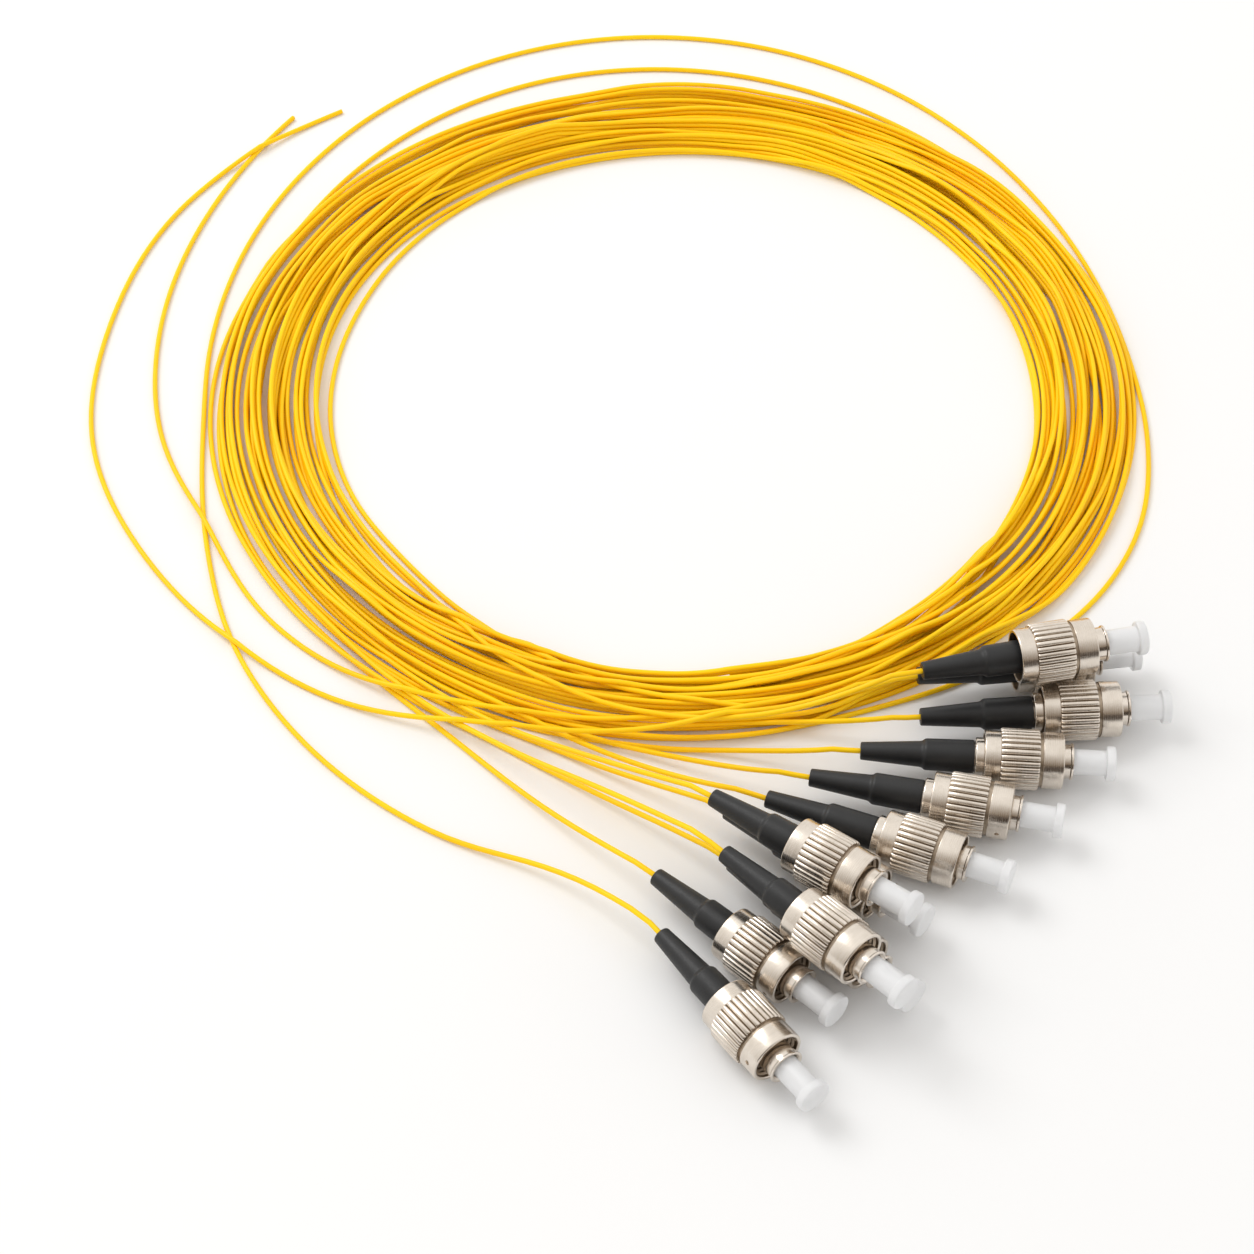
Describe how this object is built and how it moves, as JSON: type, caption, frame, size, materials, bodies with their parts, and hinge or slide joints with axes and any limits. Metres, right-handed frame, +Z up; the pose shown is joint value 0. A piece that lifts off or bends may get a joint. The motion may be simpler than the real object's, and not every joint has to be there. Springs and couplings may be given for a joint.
{
  "type": "fiber optic patch cord",
  "caption": "Yellow single-mode optical fibre pigtails with keyed screw-coupling connectors, black boots and clear dust caps, lying as one loose ring with the plugs fanned.",
  "frame": {"origin": "floor under the middle of the group of connectors, half way along their own box in X and Y; the free cords are not measured", "axes": "+Z up from the table; +Y from the connectors towards the ring of cord, away from the viewer; +X to the right, the way the plugs point"},
  "size_m": [0.19, 0.2555, 0.0191],
  "materials": {
    "cord": "satin extruded buffer",
    "boot": "fine satin moulding",
    "nickel": "satin nickel plate over brass",
    "frame_metal": "bright nickel plate over brass",
    "crimp": "plain crimped brass",
    "steel": "plain spring steel",
    "ceramic": "polished ceramic",
    "cap": "translucent soft moulding"
  },
  "bodies": {
    "set": {"coil_1": "cord", "coil_2": "cord", "coil_3": "cord", "coil_4": "cord", "cord_leads": "cord", "cord_ends": "cord", "boots": "boot", "plug_frames": "frame_metal", "rear_bodies": "frame_metal", "crimp_sleeves": "crimp", "springs": "steel", "retaining_rings": "steel"},
    "washer_01": {"washer_01": "steel"},
    "nut_01": {"nut_01": "nickel"},
    "ferrule_01": {"ferrule_01": "ceramic"},
    "cap_01": {"cap_01": "cap"},
    "washer_02": {"washer_02": "steel"},
    "nut_02": {"nut_02": "nickel"},
    "ferrule_02": {"ferrule_02": "ceramic"},
    "cap_02": {"cap_02": "cap"},
    "washer_03": {"washer_03": "steel"},
    "nut_03": {"nut_03": "nickel"},
    "ferrule_03": {"ferrule_03": "ceramic"},
    "cap_03": {"cap_03": "cap"},
    "washer_04": {"washer_04": "steel"},
    "nut_04": {"nut_04": "nickel"},
    "ferrule_04": {"ferrule_04": "ceramic"},
    "cap_04": {"cap_04": "cap"},
    "washer_05": {"washer_05": "steel"},
    "nut_05": {"nut_05": "nickel"},
    "ferrule_05": {"ferrule_05": "ceramic"},
    "cap_05": {"cap_05": "cap"},
    "washer_06": {"washer_06": "steel"},
    "nut_06": {"nut_06": "nickel"},
    "ferrule_06": {"ferrule_06": "ceramic"},
    "cap_06": {"cap_06": "cap"},
    "washer_07": {"washer_07": "steel"},
    "nut_07": {"nut_07": "nickel"},
    "ferrule_07": {"ferrule_07": "ceramic"},
    "cap_07": {"cap_07": "cap"},
    "washer_08": {"washer_08": "steel"},
    "nut_08": {"nut_08": "nickel"},
    "ferrule_08": {"ferrule_08": "ceramic"},
    "cap_08": {"cap_08": "cap"},
    "washer_09": {"washer_09": "steel"},
    "nut_09": {"nut_09": "nickel"},
    "ferrule_09": {"ferrule_09": "ceramic"},
    "cap_09": {"cap_09": "cap"},
    "washer_10": {"washer_10": "steel"},
    "nut_10": {"nut_10": "nickel"},
    "ferrule_10": {"ferrule_10": "ceramic"},
    "cap_10": {"cap_10": "cap"},
    "washer_11": {"washer_11": "steel"},
    "nut_11": {"nut_11": "nickel"},
    "ferrule_11": {"ferrule_11": "ceramic"},
    "cap_11": {"cap_11": "cap"},
    "washer_12": {"washer_12": "steel"},
    "nut_12": {"nut_12": "nickel"},
    "ferrule_12": {"ferrule_12": "ceramic"},
    "cap_12": {"cap_12": "cap"}
  },
  "joints": [
    {"name": "nut_slide_01", "type": "slide", "parent": "set", "child": "washer_01", "axis": [0.6074, -0.7944, 0], "range_m": [-0.0016, 0.0006]},
    {"name": "nut_turn_01", "type": "hinge", "parent": "washer_01", "child": "nut_01", "pos_m": [-0.02726, -0.03304, 0.005], "axis": [0.6074, -0.7944, 0], "continuous": true},
    {"name": "ferrule_push_01", "type": "slide", "parent": "set", "child": "ferrule_01", "axis": [0.6074, -0.7944, 0], "range_m": [-0.001, 0], "stiffness_N_per_m": 2500},
    {"name": "cap_pull_01", "type": "slide", "parent": "set", "child": "cap_01", "axis": [0.6074, -0.7944, 0], "range_m": [0, 0.009]},
    {"name": "nut_slide_02", "type": "slide", "parent": "set", "child": "washer_02", "axis": [0.729, -0.6845, 0], "range_m": [-0.0016, 0.0006]},
    {"name": "nut_turn_02", "type": "hinge", "parent": "washer_02", "child": "nut_02", "pos_m": [-0.02523, -0.01922, 0.005], "axis": [0.729, -0.6845, 0], "continuous": true},
    {"name": "ferrule_push_02", "type": "slide", "parent": "set", "child": "ferrule_02", "axis": [0.729, -0.6845, 0], "range_m": [-0.001, 0], "stiffness_N_per_m": 2500},
    {"name": "cap_pull_02", "type": "slide", "parent": "set", "child": "cap_02", "axis": [0.729, -0.6845, 0], "range_m": [0, 0.009]},
    {"name": "nut_slide_03", "type": "slide", "parent": "set", "child": "washer_03", "axis": [0.7108, -0.7034, 0], "range_m": [-0.0016, 0.0006]},
    {"name": "nut_turn_03", "type": "hinge", "parent": "washer_03", "child": "nut_03", "pos_m": [-0.01509, -0.02187, 0.014], "axis": [0.7108, -0.7034, 0], "continuous": true},
    {"name": "ferrule_push_03", "type": "slide", "parent": "set", "child": "ferrule_03", "axis": [0.7108, -0.7034, 0], "range_m": [-0.001, 0], "stiffness_N_per_m": 2500},
    {"name": "cap_pull_03", "type": "slide", "parent": "set", "child": "cap_03", "axis": [0.7108, -0.7034, 0], "range_m": [0, 0.009]},
    {"name": "nut_slide_04", "type": "slide", "parent": "set", "child": "washer_04", "axis": [0.7278, -0.6858, 0], "range_m": [-0.0016, 0.0006]},
    {"name": "nut_turn_04", "type": "hinge", "parent": "washer_04", "child": "nut_04", "pos_m": [-0.01322, -0.01651, 0.005], "axis": [0.7278, -0.6858, 0], "continuous": true},
    {"name": "ferrule_push_04", "type": "slide", "parent": "set", "child": "ferrule_04", "axis": [0.7278, -0.6858, 0], "range_m": [-0.001, 0], "stiffness_N_per_m": 2500},
    {"name": "cap_pull_04", "type": "slide", "parent": "set", "child": "cap_04", "axis": [0.7278, -0.6858, 0], "range_m": [0, 0.009]},
    {"name": "nut_slide_05", "type": "slide", "parent": "set", "child": "washer_05", "axis": [0.8131, -0.5821, 0], "range_m": [-0.0016, 0.0006]},
    {"name": "nut_turn_05", "type": "hinge", "parent": "washer_05", "child": "nut_05", "pos_m": [-0.0118, -0.00374, 0.005], "axis": [0.8131, -0.5821, 0], "continuous": true},
    {"name": "ferrule_push_05", "type": "slide", "parent": "set", "child": "ferrule_05", "axis": [0.8131, -0.5821, 0], "range_m": [-0.001, 0], "stiffness_N_per_m": 2500},
    {"name": "cap_pull_05", "type": "slide", "parent": "set", "child": "cap_05", "axis": [0.8131, -0.5821, 0], "range_m": [0, 0.009]},
    {"name": "nut_slide_06", "type": "slide", "parent": "set", "child": "washer_06", "axis": [0.8131, -0.5821, 0], "range_m": [-0.0016, 0.0006]},
    {"name": "nut_turn_06", "type": "hinge", "parent": "washer_06", "child": "nut_06", "pos_m": [-0.0144, -0.00804, 0.014], "axis": [0.8131, -0.5821, 0], "continuous": true},
    {"name": "ferrule_push_06", "type": "slide", "parent": "set", "child": "ferrule_06", "axis": [0.8131, -0.5821, 0], "range_m": [-0.001, 0], "stiffness_N_per_m": 2500},
    {"name": "cap_pull_06", "type": "slide", "parent": "set", "child": "cap_06", "axis": [0.8131, -0.5821, 0], "range_m": [0, 0.009]},
    {"name": "nut_slide_07", "type": "slide", "parent": "set", "child": "washer_07", "axis": [0.9239, -0.3827, 0], "range_m": [-0.0022, 0]},
    {"name": "nut_turn_07", "type": "hinge", "parent": "washer_07", "child": "nut_07", "pos_m": [0.00051, 0.00186, 0.005], "axis": [0.9239, -0.3827, 0], "continuous": true},
    {"name": "ferrule_push_07", "type": "slide", "parent": "set", "child": "ferrule_07", "axis": [0.9239, -0.3827, 0], "range_m": [-0.001, 0], "stiffness_N_per_m": 2500},
    {"name": "cap_pull_07", "type": "slide", "parent": "set", "child": "cap_07", "axis": [0.9239, -0.3827, 0], "range_m": [0, 0.009]},
    {"name": "nut_slide_08", "type": "slide", "parent": "set", "child": "washer_08", "axis": [0.9763, -0.2164, 0], "range_m": [-0.0022, 0]},
    {"name": "nut_turn_08", "type": "hinge", "parent": "washer_08", "child": "nut_08", "pos_m": [0.00899, 0.01063, 0.005], "axis": [0.9763, -0.2164, 0], "continuous": true},
    {"name": "ferrule_push_08", "type": "slide", "parent": "set", "child": "ferrule_08", "axis": [0.9763, -0.2164, 0], "range_m": [-0.001, 0], "stiffness_N_per_m": 2500},
    {"name": "cap_pull_08", "type": "slide", "parent": "set", "child": "cap_08", "axis": [0.9763, -0.2164, 0], "range_m": [0, 0.009]},
    {"name": "nut_slide_09", "type": "slide", "parent": "set", "child": "washer_09", "axis": [0.9978, -0.0663, 0], "range_m": [-0.0022, 0]},
    {"name": "nut_turn_09", "type": "hinge", "parent": "washer_09", "child": "nut_09", "pos_m": [0.01802, 0.02013, 0.005], "axis": [0.9978, -0.0663, 0], "continuous": true},
    {"name": "ferrule_push_09", "type": "slide", "parent": "set", "child": "ferrule_09", "axis": [0.9978, -0.0663, 0], "range_m": [-0.001, 0], "stiffness_N_per_m": 2500},
    {"name": "cap_pull_09", "type": "slide", "parent": "set", "child": "cap_09", "axis": [0.9978, -0.0663, 0], "range_m": [0, 0.009]},
    {"name": "nut_slide_10", "type": "slide", "parent": "set", "child": "washer_10", "axis": [0.9985, 0.0541, 0], "range_m": [-0.0022, 0]},
    {"name": "nut_turn_10", "type": "hinge", "parent": "washer_10", "child": "nut_10", "pos_m": [0.02821, 0.03047, 0.005], "axis": [0.9985, 0.0541, 0], "continuous": true},
    {"name": "ferrule_push_10", "type": "slide", "parent": "set", "child": "ferrule_10", "axis": [0.9985, 0.0541, 0], "range_m": [-0.001, 0], "stiffness_N_per_m": 2500},
    {"name": "cap_pull_10", "type": "slide", "parent": "set", "child": "cap_10", "axis": [0.9985, 0.0541, 0], "range_m": [0, 0.009]},
    {"name": "nut_slide_11", "type": "slide", "parent": "set", "child": "washer_11", "axis": [0.9813, 0.1925, 0], "range_m": [-0.0016, 0.0006]},
    {"name": "nut_turn_11", "type": "hinge", "parent": "washer_11", "child": "nut_11", "pos_m": [0.02405, 0.03566, 0.0141], "axis": [0.9813, 0.1925, 0], "continuous": true},
    {"name": "ferrule_push_11", "type": "slide", "parent": "set", "child": "ferrule_11", "axis": [0.9813, 0.1925, 0], "range_m": [-0.001, 0], "stiffness_N_per_m": 2500},
    {"name": "cap_pull_11", "type": "slide", "parent": "set", "child": "cap_11", "axis": [0.9813, 0.1925, 0], "range_m": [0, 0.009]},
    {"name": "nut_slide_12", "type": "slide", "parent": "set", "child": "washer_12", "axis": [0.9914, 0.1305, 0], "range_m": [-0.0022, 0]},
    {"name": "nut_turn_12", "type": "hinge", "parent": "washer_12", "child": "nut_12", "pos_m": [0.02447, 0.04086, 0.005], "axis": [0.9914, 0.1305, 0], "continuous": true},
    {"name": "ferrule_push_12", "type": "slide", "parent": "set", "child": "ferrule_12", "axis": [0.9914, 0.1305, 0], "range_m": [-0.001, 0], "stiffness_N_per_m": 2500},
    {"name": "cap_pull_12", "type": "slide", "parent": "set", "child": "cap_12", "axis": [0.9914, 0.1305, 0], "range_m": [0, 0.009]}
  ]
}
